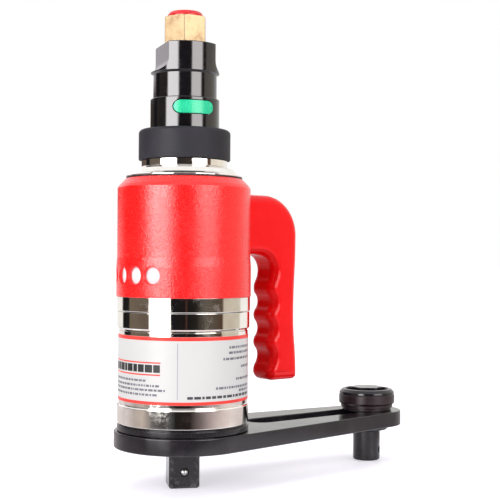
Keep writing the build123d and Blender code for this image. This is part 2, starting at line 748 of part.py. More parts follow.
with BuildPart() as inlet_plug:
    with BuildSketch(Plane.XZ):
        with BuildLine():
            Polyline(
                (0, Z_BUSH1 - 5.0), (9.7, Z_BUSH1 - 5.0), (10.45, Z_BUSH1 - 4.2), (10.45, Z_BUSH1 + 0.05),
                (11.35, Z_BUSH1 + 0.05), (11.35, Z_BUSH1 + 1.2), (10.9, Z_BUSH1 + 2.3), (9.6, Z_BUSH1 + 3.3),
                (7.4, Z_BUSH1 + 3.9), (4.0, Z_BUSH1 + 4.2), (0, Z_BUSH1 + 4.3), close=True,
            )
        make_face()
    revolve(axis=Axis.Z)
write(inlet_plug, "inlet_plug")

with BuildPart() as direction_ring:
    with BuildSketch(Plane.XZ):
        with BuildLine():
            Polyline(
                (21.35, Z_RING0), (RING_R - 0.5, Z_RING0), (RING_R, Z_RING0 + 0.5), (RING_R, Z_RING1 - 3.0),
                (RING_R - 0.2, Z_RING1 - 1.9), (RING_R - 0.9, Z_RING1 - 0.9), (RING_R - 1.9, Z_RING1 - 0.2),
                (RING_R - 3.0, Z_RING1), (21.35, Z_RING1), close=True,
            )
        make_face()
    revolve(axis=Axis.Z)
    with BuildSketch(radial(100, 212, 20)):
        Circle(1.52)
    extrude(amount=6.0, mode=Mode.SUBTRACT)
write(direction_ring, "direction_ring")

with BuildPart() as ring_pin:
    with BuildSketch(radial(100, 212, 12.9)):
        Circle(1.5)
    extrude(amount=13.0)
write(ring_pin, "ring_pin")

with BuildPart() as reversing_sleeve:
    with BuildSketch(level(204.6)):
        Circle(14.4)
        Circle(10.5, mode=Mode.SUBTRACT)
    extrude(amount=15.5)
    with BuildSketch(radial(100, 212, 9)):
        Circle(1.52)
    extrude(amount=8, mode=Mode.SUBTRACT)
    for a in (0, 72, 210, 290):
        with BuildSketch(radial(a, 212, 9)):
            Circle(2.2)
        extrude(amount=8, mode=Mode.SUBTRACT)
write(reversing_sleeve, "reversing_sleeve")

with BuildPart() as start_button:
    with BuildSketch(radial(BUTTON_DEG, BUTTON_Z, 15.6)):
        SlotOverall(BUTTON_W, BUTTON_H)
    extrude(amount=10)
    with BuildSketch(level(BUTTON_Z - 10)):
        Circle(VALVE_R + 0.5)
    extrude(amount=20, mode=Mode.INTERSECT)
    crown = start_button.faces().filter_by(GeomType.CYLINDER).sort_by(SortBy.AREA)[-1]
    fillet(crown.edges(), 0.9)
    with BuildSketch(radial(BUTTON_DEG, BUTTON_Z, 15.6)):
        Circle(3.6)
    extrude(amount=1.4, mode=Mode.SUBTRACT)
write(start_button, "start_button")

with BuildPart() as valve_stem:
    with BuildSketch(radial(BUTTON_DEG, BUTTON_Z, 6.2)):
        Circle(2.3)
    extrude(amount=10.8)
    with BuildSketch(radial(BUTTON_DEG, BUTTON_Z, 6.2)):
        Circle(1.0)
    extrude(amount=-3.0)
write(valve_stem, "valve_stem")

b_ang = math.radians(BUTTON_DEG)
with BuildPart() as button_spring:
    with BuildLine():
        coil2 = Helix(
            pitch=1.2, height=3.6, radius=3.1,
            center=(12.95 * math.cos(b_ang), 12.95 * math.sin(b_ang), BUTTON_Z),
            direction=(math.cos(b_ang), math.sin(b_ang), 0),
        )
    with BuildSketch(Plane(origin=coil2 @ 0, z_dir=coil2 % 0)):
        Circle(0.28)
    sweep(path=coil2, is_frenet=True)
write(button_spring, "button_spring")

print("written", len(os.listdir("parts")))
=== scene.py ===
import math
import random

import bmesh
import bpy
from mathutils import Matrix, Vector


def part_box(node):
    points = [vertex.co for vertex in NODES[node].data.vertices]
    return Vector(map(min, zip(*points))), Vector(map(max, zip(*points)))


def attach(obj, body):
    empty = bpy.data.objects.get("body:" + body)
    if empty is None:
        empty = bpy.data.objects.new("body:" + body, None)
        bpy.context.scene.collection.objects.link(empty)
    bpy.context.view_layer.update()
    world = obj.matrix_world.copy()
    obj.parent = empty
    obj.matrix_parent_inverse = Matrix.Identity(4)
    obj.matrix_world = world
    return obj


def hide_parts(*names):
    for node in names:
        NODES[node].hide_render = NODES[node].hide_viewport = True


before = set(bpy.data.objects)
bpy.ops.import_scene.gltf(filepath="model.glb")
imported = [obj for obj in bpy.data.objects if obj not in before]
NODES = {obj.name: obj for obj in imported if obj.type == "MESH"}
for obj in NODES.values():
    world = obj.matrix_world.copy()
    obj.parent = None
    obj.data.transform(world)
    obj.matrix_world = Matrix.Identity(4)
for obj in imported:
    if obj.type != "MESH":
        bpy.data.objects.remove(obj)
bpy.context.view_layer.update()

MM = 0.001
scene = bpy.context.scene
scene.view_settings.view_transform = "Standard"
scene.view_settings.look = "None"

# ------------------------------------------------------------------ camera, first of all
cam_data = bpy.data.cameras.new("camera")
cam = bpy.data.objects.new("camera", cam_data)
scene.collection.objects.link(cam)
scene.camera = cam
cam_data.sensor_width = 36.0
cam_data.lens = 80.64
cam_data.clip_start, cam_data.clip_end = 0.01, 50.0
cam_data.dof.use_dof = False
pitch, roll = math.radians(0.36), math.radians(0.37)
look = Vector((0.616 * math.cos(pitch), 0.788 * math.cos(pitch), math.sin(pitch))).normalized()
right = look.cross(Vector((0, 0, 1))).normalized()
up = right.cross(look)
right, up = right * math.cos(roll) + up * math.sin(roll), up * math.cos(roll) - right * math.sin(roll)
cam.matrix_world = Matrix((
    (right.x, up.x, -look.x, -0.3997),
    (right.y, up.y, -look.y, -0.5785),
    (right.z, up.z, -look.z, 0.1433),
    (0, 0, 0, 1),
))


# ------------------------------------------------------------------ material kit
def tree(name):
    m = bpy.data.materials.new(name)
    m.use_nodes = True
    nt = m.node_tree
    return m, nt, nt.nodes["Principled BSDF"]


def node(nt, kind, **values):
    n = nt.nodes.new(kind)
    for k, v in values.items():
        if hasattr(n, k):
            setattr(n, k, v)
        else:
            n.inputs[k.replace("_", " ")].default_value = v
    return n


def coords(nt, scale=(1, 1, 1)):
    tc = node(nt, "ShaderNodeTexCoord")
    mp = node(nt, "ShaderNodeMapping")
    mp.inputs["Scale"].default_value = scale
    nt.links.new(tc.outputs["Object"], mp.inputs["Vector"])
    return mp.outputs["Vector"]


def noise(nt, vec, scale, detail=3.0, rough=0.5, distortion=0.0):
    n = node(nt, "ShaderNodeTexNoise")
    n.inputs["Scale"].default_value = scale
    n.inputs["Detail"].default_value = detail
    n.inputs["Roughness"].default_value = rough
    n.inputs["Distortion"].default_value = distortion
    nt.links.new(vec, n.inputs["Vector"])
    return n.outputs["Fac"]


def ramp(nt, fac, stops, interpolation="LINEAR"):
    r = node(nt, "ShaderNodeValToRGB")
    r.color_ramp.interpolation = interpolation
    e = r.color_ramp.elements
    while len(e) > 1:
        e.remove(e[-1])
    e[0].position = stops[0][0]
    e[0].color = (*stops[0][1], 1)
    for p, c in stops[1:]:
        s = e.new(p)
        s.color = (*c, 1)
    nt.links.new(fac, r.inputs["Fac"])
    return r.outputs["Color"]


def remap(nt, fac, a, b, c, d):
    r = node(nt, "ShaderNodeMapRange")
    r.inputs["From Min"].default_value = a
    r.inputs["From Max"].default_value = b
    r.inputs["To Min"].default_value = c
    r.inputs["To Max"].default_value = d
    nt.links.new(fac, r.inputs["Value"])
    return r.outputs["Result"]


def bump(nt, height, distance, strength=1.0, normal=None):
    b = node(nt, "ShaderNodeBump")
    b.inputs["Strength"].default_value = strength
    b.inputs["Distance"].default_value = distance
    nt.links.new(height, b.inputs["Height"])
    if normal is not None:
        nt.links.new(normal, b.inputs["Normal"])
    return b.outputs["Normal"]


def grey(v):
    return (v, v, v)


def srgb(r, g, b):
    def f(c):
        c /= 255
        return c / 12.92 if c <= 0.04045 else ((c + 0.055) / 1.055) ** 2.4
    return (f(r), f(g), f(b))


def nickel():
    """Bright nickel plate on a turned surface: faint turning lines, smears, warm tint."""
    m, nt, p = tree("bright_nickel")
    p.inputs["Metallic"].default_value = 1.0
    vec = coords(nt)
    cloud = noise(nt, vec, 90, 4)
    col = ramp(nt, cloud, [(0.30, (0.80, 0.765, 0.72)), (0.60, (0.90, 0.875, 0.84)), (0.80, (0.83, 0.80, 0.75))])
    nt.links.new(col, p.inputs["Base Color"])
    smear = noise(nt, coords(nt, (40, 40, 160)), 1.0, 5, 0.6)
    spots = remap(nt, noise(nt, vec, 75, 3, 0.6), 0.50, 0.72, 0.0, 0.13)
    rub = node(nt, "ShaderNodeMath", operation="ADD")
    nt.links.new(remap(nt, smear, 0.35, 0.75, 0.03, 0.085), rub.inputs[0])
    nt.links.new(spots, rub.inputs[1])
    nt.links.new(rub.outputs[0], p.inputs["Roughness"])
    lines = noise(nt, coords(nt, (60, 60, 2600)), 1.0, 2)
    nt.links.new(bump(nt, lines, 0.0000035, 0.5), p.inputs["Normal"])
    return m


def red_texture():
    """Sprayed wrinkle-finish enamel: a fine pebbled skin with glossy crests."""
    m, nt, p = tree("red_wrinkle_enamel")
    vec = coords(nt)
    grain = noise(nt, vec, 1050, 2, 0.6)
    col = ramp(nt, grain, [(0.38, srgb(214, 2, 2)), (0.48, srgb(233, 7, 7)), (0.64, srgb(241, 15, 14))])
    nt.links.new(col, p.inputs["Base Color"])
    fine = noise(nt, vec, 2300, 2, 0.5)
    patch = noise(nt, vec, 45, 2)
    base_rough = remap(nt, patch, 0.3, 0.7, 0.0, 0.08)
    add = node(nt, "ShaderNodeMath", operation="ADD")
    nt.links.new(base_rough, add.inputs[0])
    nt.links.new(remap(nt, grain, 0.38, 0.62, 0.30, 0.12), add.inputs[1])
    nt.links.new(add.outputs[0], p.inputs["Roughness"])
    n1 = bump(nt, grain, 0.00014, 0.85)
    n2 = bump(nt, fine, 0.00005, 0.5, n1)
    n3 = bump(nt, noise(nt, vec, 820, 1, 0.5), 0.00019, 1.0, n2)
    nt.links.new(n3, p.inputs["Normal"])
    p.inputs["Specular IOR Level"].default_value = 0.66
    p.inputs["Coat Weight"].default_value = 0.12
    p.inputs["Coat Roughness"].default_value = 0.20
    return m


def red_grip(name="red_moulded_grip", lo=(224, 18, 22), hi=(232, 24, 28), level=0.22):
    """Coated grip: smoother than the housing, with a slight orange peel and tiny pits."""
    m, nt, p = tree(name)
    vec = coords(nt)
    tone = noise(nt, vec, 35, 4)
    col = ramp(nt, tone, [(0.3, srgb(*lo)), (0.7, srgb(*hi))])
    nt.links.new(col, p.inputs["Base Color"])
    peel = noise(nt, vec, 420, 2, 0.4)
    pits = noise(nt, vec, 1500, 2, 0.5)
    n1 = bump(nt, peel, 0.00014, 0.5)
    n2 = bump(nt, ramp(nt, pits, [(0.28, grey(0)), (0.36, grey(1))]), 0.00004, 0.4, n1)
    nt.links.new(n2, p.inputs["Normal"])
    nt.links.new(remap(nt, tone, 0.3, 0.7, 0.12, 0.18), p.inputs["Roughness"])
    p.inputs["Specular IOR Level"].default_value = level
    return m


def anodised():
    """Gloss black anodised aluminium with faint turning lines."""
    m, nt, p = tree("black_anodise")
    vec = coords(nt)
    tone = noise(nt, vec, 120, 4)
    col = ramp(nt, tone, [(0.3, (0.003, 0.003, 0.004)), (0.7, (0.007, 0.006, 0.007))])
    nt.links.new(col, p.inputs["Base Color"])
    p.inputs["IOR"].default_value = 1.65
    smear = noise(nt, coords(nt, (90, 90, 400)), 1.0, 4)
    nt.links.new(remap(nt, smear, 0.3, 0.7, 0.075, 0.135), p.inputs["Roughness"])
    lines = noise(nt, coords(nt, (40, 40, 3400)), 1.0, 2)
    nt.links.new(bump(nt, lines, 0.000006, 0.5), p.inputs["Normal"])
    return m


def charcoal():
    """Moulded charcoal rubber: matt, dusty, with a very fine leathery skin."""
    m, nt, p = tree("charcoal_rubber")
    vec = coords(nt)
    tone = noise(nt, vec, 70, 5, 0.6)
    col = ramp(nt, tone, [(0.3, srgb(20, 20, 25)), (0.55, srgb(26, 25, 31)), (0.8, srgb(38, 37, 44))])
    nt.links.new(col, p.inputs["Base Color"])
    skin = noise(nt, vec, 1600, 3)
    nt.links.new(bump(nt, skin, 0.00006, 0.5), p.inputs["Normal"])
    nt.links.new(remap(nt, tone, 0.3, 0.8, 0.58, 0.70), p.inputs["Roughness"])
    p.inputs["Specular IOR Level"].default_value = 0.35
    return m


def green():
    m, nt, p = tree("green_button")
    vec = coords(nt)
    tone = noise(nt, vec, 160, 3)
    col = ramp(nt, tone, [(0.3, srgb(30, 182, 132)), (0.7, srgb(40, 196, 144))])
    nt.links.new(col, p.inputs["Base Color"])
    nt.links.new(bump(nt, noise(nt, vec, 700, 2), 0.00003, 0.4), p.inputs["Normal"])
    nt.links.new(remap(nt, tone, 0.3, 0.7, 0.22, 0.32), p.inputs["Roughness"])
    p.inputs["Subsurface Weight"].default_value = 0.08
    p.inputs["Subsurface Radius"].default_value = (0.0004, 0.0016, 0.0008)
    return m


HEX_EDGE = -127.0        # one corner of the inlet hexagon


def brass():
    m, nt, p = tree("machined_brass")
    p.inputs["Metallic"].default_value = 0.5
    vec = coords(nt)
    stain = noise(nt, vec, 130, 4, 0.6)
    col = ramp(nt, stain, [
        (0.30, (0.17, 0.10, 0.045)), (0.42, (0.26, 0.175, 0.085)), (0.55, (0.31, 0.225, 0.115)), (0.78, (0.24, 0.16, 0.075)),
    ])
    # the dark brown band along each of the six hexagon corners is painted shade, standing in for the dark reflections
    # at the corners
    axes = node(nt, "ShaderNodeSeparateXYZ")
    nt.links.new(vec, axes.inputs[0])
    turn = node(nt, "ShaderNodeMath", operation="ARCTAN2")
    nt.links.new(axes.outputs["Y"], turn.inputs[0])
    nt.links.new(axes.outputs["X"], turn.inputs[1])
    shift = node(nt, "ShaderNodeMath", operation="ADD")
    nt.links.new(turn.outputs[0], shift.inputs[0])
    shift.inputs[1].default_value = math.radians(360 - HEX_EDGE)
    fold = node(nt, "ShaderNodeMath", operation="PINGPONG")
    nt.links.new(shift.outputs[0], fold.inputs[0])
    fold.inputs[1].default_value = math.radians(30)
    line = remap(nt, fold.outputs[0], 0.010, 0.030, 0.75, 0.0)
    tint = node(nt, "ShaderNodeMix", data_type="RGBA")
    nt.links.new(line, tint.inputs["Factor"])
    nt.links.new(col, tint.inputs["A"])
    tint.inputs["B"].default_value = (0.085, 0.045, 0.02, 1)
    nt.links.new(tint.outputs["Result"], p.inputs["Base Color"])
    nt.links.new(remap(nt, stain, 0.3, 0.8, 0.26, 0.16), p.inputs["Roughness"])
    lines = noise(nt, coords(nt, (300, 300, 2400)), 1.0, 2)
    nt.links.new(bump(nt, lines, 0.00001, 0.5), p.inputs["Normal"])
    return m


def soft_red():
    m, nt, p = tree("soft_red_plastic")
    vec = coords(nt)
    tone = noise(nt, vec, 190, 3)
    col = ramp(nt, tone, [(0.3, srgb(196, 18, 26)), (0.7, srgb(214, 30, 36))])
    nt.links.new(col, p.inputs["Base Color"])
    nt.links.new(bump(nt, noise(nt, vec, 900, 2), 0.00004, 0.4), p.inputs["Normal"])
    nt.links.new(remap(nt, tone, 0.3, 0.7, 0.30, 0.42), p.inputs["Roughness"])
    p.inputs["Subsurface Weight"].default_value = 0.1
    p.inputs["Subsurface Radius"].default_value = (0.0016, 0.0004, 0.0004)
    return m


def black_oxide(name="black_oxide", warm=0.0, rough=(0.12, 0.22), ior=1.46, milled=False):
    """Oil-blacked steel: dark brown-grey, blotchy, edges rubbed to bare metal."""
    m, nt, p = tree(name)
    vec = coords(nt)
    blot = noise(nt, vec, 55, 5, 0.62)
    col = ramp(nt, blot, [
        (0.30, (0.006 + warm, 0.005, 0.007)), (0.50, (0.011 + warm, 0.009, 0.012)), (0.72, (0.019 + warm, 0.016, 0.019)),
    ])
    geo = node(nt, "ShaderNodeNewGeometry")
    wear_noise = noise(nt, vec, 340, 4, 0.7)
    edge = ramp(nt, geo.outputs["Pointiness"], [(0.54, grey(0)), (0.62, grey(1))])
    wear = node(nt, "ShaderNodeMath", operation="MULTIPLY")
    nt.links.new(edge, wear.inputs[0])
    nt.links.new(remap(nt, wear_noise, 0.45, 0.7, 0.0, 0.55), wear.inputs[1])
    mix = node(nt, "ShaderNodeMix", data_type="RGBA")
    nt.links.new(wear.outputs[0], mix.inputs["Factor"])
    nt.links.new(col, mix.inputs["A"])
    mix.inputs["B"].default_value = (0.33, 0.31, 0.30, 1)
    nt.links.new(mix.outputs["Result"], p.inputs["Base Color"])
    p.inputs["IOR"].default_value = ior
    nt.links.new(remap(nt, blot, 0.3, 0.75, rough[0], rough[1]), p.inputs["Roughness"])
    fine = noise(nt, vec, 1300, 3, 0.6)
    n1 = bump(nt, fine, 0.00002, 0.5)
    if milled:                               # cutter marks up the edge of the plate, none on its faces
        sides = node(nt, "ShaderNodeSeparateXYZ")
        nt.links.new(geo.outputs["True Normal"], sides.inputs[0])
        upright = node(nt, "ShaderNodeMath", operation="ABSOLUTE")
        nt.links.new(sides.outputs["Z"], upright.inputs[0])
        marks = node(nt, "ShaderNodeMath", operation="MULTIPLY")
        nt.links.new(noise(nt, coords(nt, (1150, 1150, 25)), 1.0, 2, 0.6), marks.inputs[0])
        nt.links.new(remap(nt, upright.outputs[0], 0.2, 0.7, 1.0, 0.0), marks.inputs[1])
        n1 = bump(nt, marks.outputs[0], 0.00007, 0.8, n1)
    nt.links.new(n1, p.inputs["Normal"])
    return m


def steel(name, tone_lo, tone_hi, rough):
    m, nt, p = tree(name)
    p.inputs["Metallic"].default_value = 1.0
    vec = coords(nt)
    tone = noise(nt, vec, 130, 4)
    nt.links.new(ramp(nt, tone, [(0.3, tone_lo), (0.7, tone_hi)]), p.inputs["Base Color"])
    nt.links.new(remap(nt, tone, 0.3, 0.7, rough, rough + 0.12), p.inputs["Roughness"])
    nt.links.new(bump(nt, noise(nt, coords(nt, (200, 200, 1600)), 1.0, 2), 0.000008, 0.5), p.inputs["Normal"])
    return m


def seal_black():
    m, nt, p = tree("black_seal")
    vec = coords(nt)
    tone = noise(nt, vec, 260, 3)
    nt.links.new(ramp(nt, tone, [(0.3, grey(0.010)), (0.7, grey(0.022))]), p.inputs["Base Color"])
    nt.links.new(remap(nt, tone, 0.3, 0.7, 0.45, 0.6), p.inputs["Roughness"])
    nt.links.new(bump(nt, noise(nt, vec, 1200, 2), 0.00003, 0.4), p.inputs["Normal"])
    return m


def felt():
    m, nt, p = tree("white_felt")
    vec = coords(nt)
    fibres = noise(nt, vec, 1500, 5, 0.75, 1.5)
    # the fibre colours sit well below white: painted shade for the inside of the exhaust holes
    nt.links.new(ramp(nt, fibres, [(0.3, (0.66, 0.67, 0.68)), (0.7, (0.84, 0.84, 0.84))]), p.inputs["Base Color"])
    nt.links.new(bump(nt, fibres, 0.0002, 0.8), p.inputs["Normal"])
    p.inputs["Roughness"].default_value = 0.95
    p.inputs["Sheen Weight"].default_value = 0.2
    return m


def film(name, lo, hi, rough=0.22):
    """Printed label film: smooth, slightly wavy, clear-coated."""
    m, nt, p = tree(name)
    vec = coords(nt)
    tone = noise(nt, vec, 50, 3)
    nt.links.new(ramp(nt, tone, [(0.3, lo), (0.7, hi)]), p.inputs["Base Color"])
    nt.links.new(bump(nt, noise(nt, vec, 300, 2), 0.000006, 0.25), p.inputs["Normal"])
    nt.links.new(remap(nt, tone, 0.3, 0.7, rough + 0.08, rough + 0.10), p.inputs["Roughness"])
    p.inputs["Specular IOR Level"].default_value = 0.22
    return m


def laminate():
    m, nt, p = tree("phenolic_laminate")
    layers = noise(nt, coords(nt, (900, 900, 30)), 1.0, 3)
    nt.links.new(ramp(nt, layers, [(0.3, (0.16, 0.08, 0.03)), (0.7, (0.30, 0.17, 0.07))]), p.inputs["Base Color"])
    nt.links.new(bump(nt, layers, 0.00002, 0.4), p.inputs["Normal"])
    p.inputs["Roughness"].default_value = 0.5
    return m


NICKEL = nickel()
RED = red_texture()
GRIP = red_grip()
# painted shade: a darker red, with a lower specular level, for the grip faces turned towards the housing and under the
# crook
GRIP_PAINTED_SHADE = red_grip("red_grip_finger_side_painted_shade", (196, 6, 9), (204, 9, 12), 0.10)
ANODISE = anodised()
CHARCOAL = charcoal()
GREEN = green()
BRASS = brass()
PLUG = soft_red()
OXIDE = black_oxide()
OXIDE_DARK = black_oxide("black_oxide_nut", warm=0.007, rough=(0.30, 0.42), ior=1.40)
OXIDE_MATT = black_oxide("black_oxide_satin", rough=(0.15, 0.23), ior=1.40)
OXIDE_ARM = black_oxide("black_oxide_milled", milled=True)
SEAL = seal_black()
FELT = felt()
STEEL = steel("ground_steel", grey(0.50), grey(0.64), 0.18)
BALL = steel("detent_steel", grey(0.34), grey(0.44), 0.30)
GEAR = steel("gear_steel", grey(0.26), grey(0.38), 0.28)
ALLOY = steel("machined_alloy", grey(0.60), grey(0.72), 0.3)
LAMINATE = laminate()
FILM = film("label_film", srgb(197, 196, 193), srgb(198, 197, 194))
FILM_RED = film("label_red", srgb(222, 58, 52), srgb(232, 70, 62))
INK = film("label_ink", grey(0.012), grey(0.03), 0.3)
INK_DARK = film("label_dark_ink", srgb(58, 56, 60), srgb(78, 76, 80), 0.3)
INK_GREY = film("label_grey_ink", srgb(150, 150, 158), srgb(170, 170, 178), 0.3)
INK_FINE = film("label_fine_ink", srgb(92, 92, 100), srgb(120, 120, 128), 0.3)


# ------------------------------------------------------------------ mesh kit, sizes in mm
def link(ob):
    scene.collection.objects.link(ob)
    return ob


def mesh_object(name, verts, faces, mat):
    me = bpy.data.meshes.new(name)
    me.from_pydata([(x * MM, y * MM, z * MM) for x, y, z in verts], [], faces)
    me.validate()
    bm = bmesh.new()
    bm.from_mesh(me)
    bmesh.ops.recalc_face_normals(bm, faces=bm.faces)
    bm.to_mesh(me)
    bm.free()
    me.materials.append(mat)
    return link(bpy.data.objects.new(name, me))


def finish_mesh(ob, angle=32, weighted=True):
    """Smooth shading with hard edges above an angle."""
    bm = bmesh.new()
    bm.from_mesh(ob.data)
    for f in bm.faces:
        f.smooth = True
    for e in bm.edges:
        e.smooth = len(e.link_faces) == 2 and e.calc_face_angle(0) < math.radians(angle)
    bm.to_mesh(ob.data)
    bm.free()
    if weighted:
        w = ob.modifiers.new("weighted", "WEIGHTED_NORMAL")
        w.keep_sharp = True
        w.weight = 50
    return ob


def apply(ob):
    dg = bpy.context.evaluated_depsgraph_get()
    dg.update()
    me = bpy.data.meshes.new_from_object(ob.evaluated_get(dg))
    ob.modifiers.clear()
    ob.data = me
    return ob


def cut(ob, tools, op="DIFFERENCE"):
    for t in tools:
        b = ob.modifiers.new("cut", "BOOLEAN")
        b.operation = op
        b.solver = "EXACT"
        b.object = t
    apply(ob)
    for t in tools:
        bpy.data.objects.remove(t, do_unlink=True)
    return ob


def bevel(ob, width, segments=3, angle=35):
    b = ob.modifiers.new("bevel", "BEVEL")
    b.width = width * MM
    b.segments = segments
    b.limit_method = "ANGLE"
    b.angle_limit = math.radians(angle)
    b.use_clamp_overlap = True
    b.harden_normals = False
    return apply(ob)


def rounded(points, closed=True, steps=4):
    """A profile of (r, z) or (r, z, fillet) with each fillet drawn as an arc."""
    out = []
    n = len(points)
    for i, pt in enumerate(points):
        r = pt[2] if len(pt) > 2 else 0
        p = Vector(pt[:2])
        if r <= 0 or (not closed and i in (0, n - 1)):
            out.append((p.x, p.y))
            continue
        a, b = Vector(points[i - 1][:2]), Vector(points[(i + 1) % n][:2])
        u, v = (a - p), (b - p)
        lu, lv = u.length, v.length
        u.normalize()
        v.normalize()
        ang = u.angle(v)
        d = min(r / math.tan(ang / 2), lu * 0.49, lv * 0.49)
        rr = d * math.tan(ang / 2)
        c = p + (u + v).normalized() * (rr / math.sin(ang / 2))
        s, e = p + u * d, p + v * d
        a0 = math.atan2(s.y - c.y, s.x - c.x)
        a1 = math.atan2(e.y - c.y, e.x - c.x)
        da = (a1 - a0 + math.pi) % (2 * math.pi) - math.pi
        for k in range(steps + 1):
            t = a0 + da * k / steps
            out.append((c.x + rr * math.cos(t), c.y + rr * math.sin(t)))
    return out


def lathe(name, points, mat, segs=256, centre=(0, 0), steps=4, angle=32):
    prof = rounded(points, steps=steps)
    verts, faces = [], []
    n = len(prof)
    axis = [i for i, (r, z) in enumerate(prof) if r < 1e-6]
    idx = {}
    for i, (r, z) in enumerate(prof):
        if i in axis:
            idx[i] = [len(verts)] * segs
            verts.append((centre[0], centre[1], z))
        else:
            idx[i] = list(range(len(verts), len(verts) + segs))
            for k in range(segs):
                a = 2 * math.pi * k / segs
                verts.append((centre[0] + r * math.cos(a), centre[1] + r * math.sin(a), z))
    for i in range(n):
        j = (i + 1) % n
        if i in axis and j in axis:
            continue
        for k in range(segs):
            l = (k + 1) % segs
            f = [idx[i][k], idx[i][l], idx[j][l], idx[j][k]]
            f = [v for q, v in enumerate(f) if v not in f[:q]]
            if len(f) >= 3:
                faces.append(f)
    ob = mesh_object(name, verts, faces, mat)
    return finish_mesh(ob, angle)


def prism(name, outline, z0, z1, mat, frame_m=None):
    """Straight prism of a 2-D outline; frame_m places it (columns x, y, z in mm)."""
    n = len(outline)
    verts = [(x, y, z0) for x, y in outline] + [(x, y, z1) for x, y in outline]
    faces = [list(range(n)), list(range(n, 2 * n))] + [[i, (i + 1) % n, n + (i + 1) % n, n + i] for i in range(n)]
    if frame_m is not None:
        verts = [tuple(frame_m @ Vector(v)) for v in verts]
    return mesh_object(name, verts, faces, mat)


def radial(angle, z, r=0.0):
    """Frame whose z points outward at an angle and whose y is up."""
    a = math.radians(angle)
    x, y, n = Vector((-math.sin(a), math.cos(a), 0)), Vector((0, 0, 1)), Vector((math.cos(a), math.sin(a), 0))
    o = n * r + Vector((0, 0, z))
    return Matrix(((x.x, y.x, n.x, o.x), (x.y, y.y, n.y, o.y), (x.z, y.z, n.z, o.z), (0, 0, 0, 1)))


def circle(r, n=64, cx=0.0, cy=0.0, phase=0.0):
    return [(cx + r * math.cos(2 * math.pi * k / n + phase), cy + r * math.sin(2 * math.pi * k / n + phase)) for k in range(n)]


def stadium(w, h, n=24):
    r = h / 2
    d = w / 2 - r
    pts = [(d + r * math.cos(t), r * math.sin(t)) for t in [(-0.5 + k / n) * math.pi for k in range(n + 1)]]
    pts += [(-d + r * math.cos(t), r * math.sin(t)) for t in [(0.5 + k / n) * math.pi for k in range(n + 1)]]
    return pts


def put(ob, body, slot, *nodes):
    if nodes:
        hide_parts(*nodes)
    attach(ob, body)
    return ob


# ------------------------------------------------------------------ sizes read from the frame
def span(name):
    lo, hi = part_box(name)
    return [c / MM for c in lo], [c / MM for c in hi]


case_lo, case_hi = span("gearbox_casing")
lock_lo, lock_hi = span("lock_ring")
swiv_lo, swiv_hi = span("swivel_ring")
red_lo, red_hi = span("motor_housing")
cap_lo, cap_hi = span("motor_cap")
ring_lo, ring_hi = span("direction_ring")
valve_lo, valve_hi = span("valve_body")
label_lo, label_hi = span("data_label")
bush_lo, bush_hi = span("inlet_bush")
plug_lo, plug_hi = span("inlet_plug")
arm_lo, arm_hi = span("reaction_arm")
knob_lo, knob_hi = span("foot_knob")
post_lo, post_hi = span("foot_post")
hub_lo, hub_hi = span("reaction_spline_hub")
handle_lo, handle_hi = span("handle")

# ------------------------------------------------------------------ gearbox casing and rings
c0, c1 = case_lo[2], case_hi[2]
rc = case_hi[0]
casing = lathe("casing", [
    (26.1, c0 + 0.02), (rc, c0 + 0.02, 0.45), (rc, 51.7, 0.35), (40.3, 52.35, 0.25), (39.75, 52.45, 0.1), (39.75, 52.95, 0.1),
    (40.3, 53.3, 0.15), (40.3, 97.7, 0.15), (39.9, 98.0, 0.1), (39.9, c1 - 0.02), (36.6, c1 - 0.02), (36.6, 56.5), (26.1, 56.5),
], NICKEL)
put(casing, "gearbox", "nickel_plate", "gearbox_casing")

rl = lock_hi[0]
lock = lathe("lock_ring_polished", [
    (36.6, lock_lo[2]), (rl - 0.95, lock_lo[2], 0.1), (rl, lock_lo[2] + 0.95, 0.3), (rl, lock_hi[2] - 0.02, 0.32), (36.6, lock_hi[2] - 0.02),
], NICKEL)
put(lock, "gearbox", "nickel_plate", "lock_ring")

swivel = lathe("swivel_ring_polished", [
    (36.6, swiv_lo[2]), (41.6, swiv_lo[2], 0.4), (41.6, 118.46, 0.12), (34.2, 118.46), (34.0, 124.1), (31.0, 124.1), (31.0, 117.0), (36.6, 117.0),
], NICKEL)
put(swivel, "motor", "nickel_plate", "swivel_ring")

hub = lathe("hub_flange", [
    (22.6, 35.6), (38.9, 35.6), (38.9, 35.9), (hub_hi[0], 35.9, 0.3), (hub_hi[0], 39.35, 0.5), (39.5, 39.4, 0.1), (39.5, c0), (22.6, c0),
], OXIDE_MATT)
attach(hub, "gearbox")

cap = lathe("motor_cap_polished", [
    (14.6, cap_lo[2]), (29.8, cap_lo[2]), (29.8, 192.72), (36.4, 192.72, 0.12), (36.4, 193.3, 0.3), (35.4, 193.9, 0.5),
    (32.9, 194.7, 1.0), (30.8, 197.6, 0.8), (26.9, 198.9, 0.4), (26.9, cap_hi[2], 0.2), (14.6, cap_hi[2]),
], NICKEL)
put(cap, "motor", "nickel_plate", "motor_cap")

gasket = lathe("cap_seal", [(30.1, 191.82), (36.25, 191.82, 0.2), (36.25, 192.7, 0.2), (30.1, 192.7)], SEAL)
put(gasket, "motor", "black_seal", "cap_gasket")

# ------------------------------------------------------------------ label and its generic print
label = lathe("label_band", [
    (40.32, label_lo[2]), (40.56, label_lo[2], 0.05), (40.56, label_hi[2], 0.05), (40.32, label_hi[2]),
], FILM, steps=2)
put(label, "gearbox", "label_film", "data_label")


def curved_patch(verts, faces, a0, a1, z0, z1, r=40.575):
    """Adds a thin patch wrapped on the label between two angles and heights."""
    n = max(1, int(abs(a1 - a0) / 1.5) + 1)
    base = len(verts)
    for k in range(n + 1):
        a = math.radians(a0 + (a1 - a0) * k / n)
        for rr, zz in ((r, z0), (r, z1)):
            verts.append((rr * math.cos(a), rr * math.sin(a), zz))
    for k in range(n):
        i = base + 2 * k
        faces.append([i, i + 2, i + 3, i + 1])


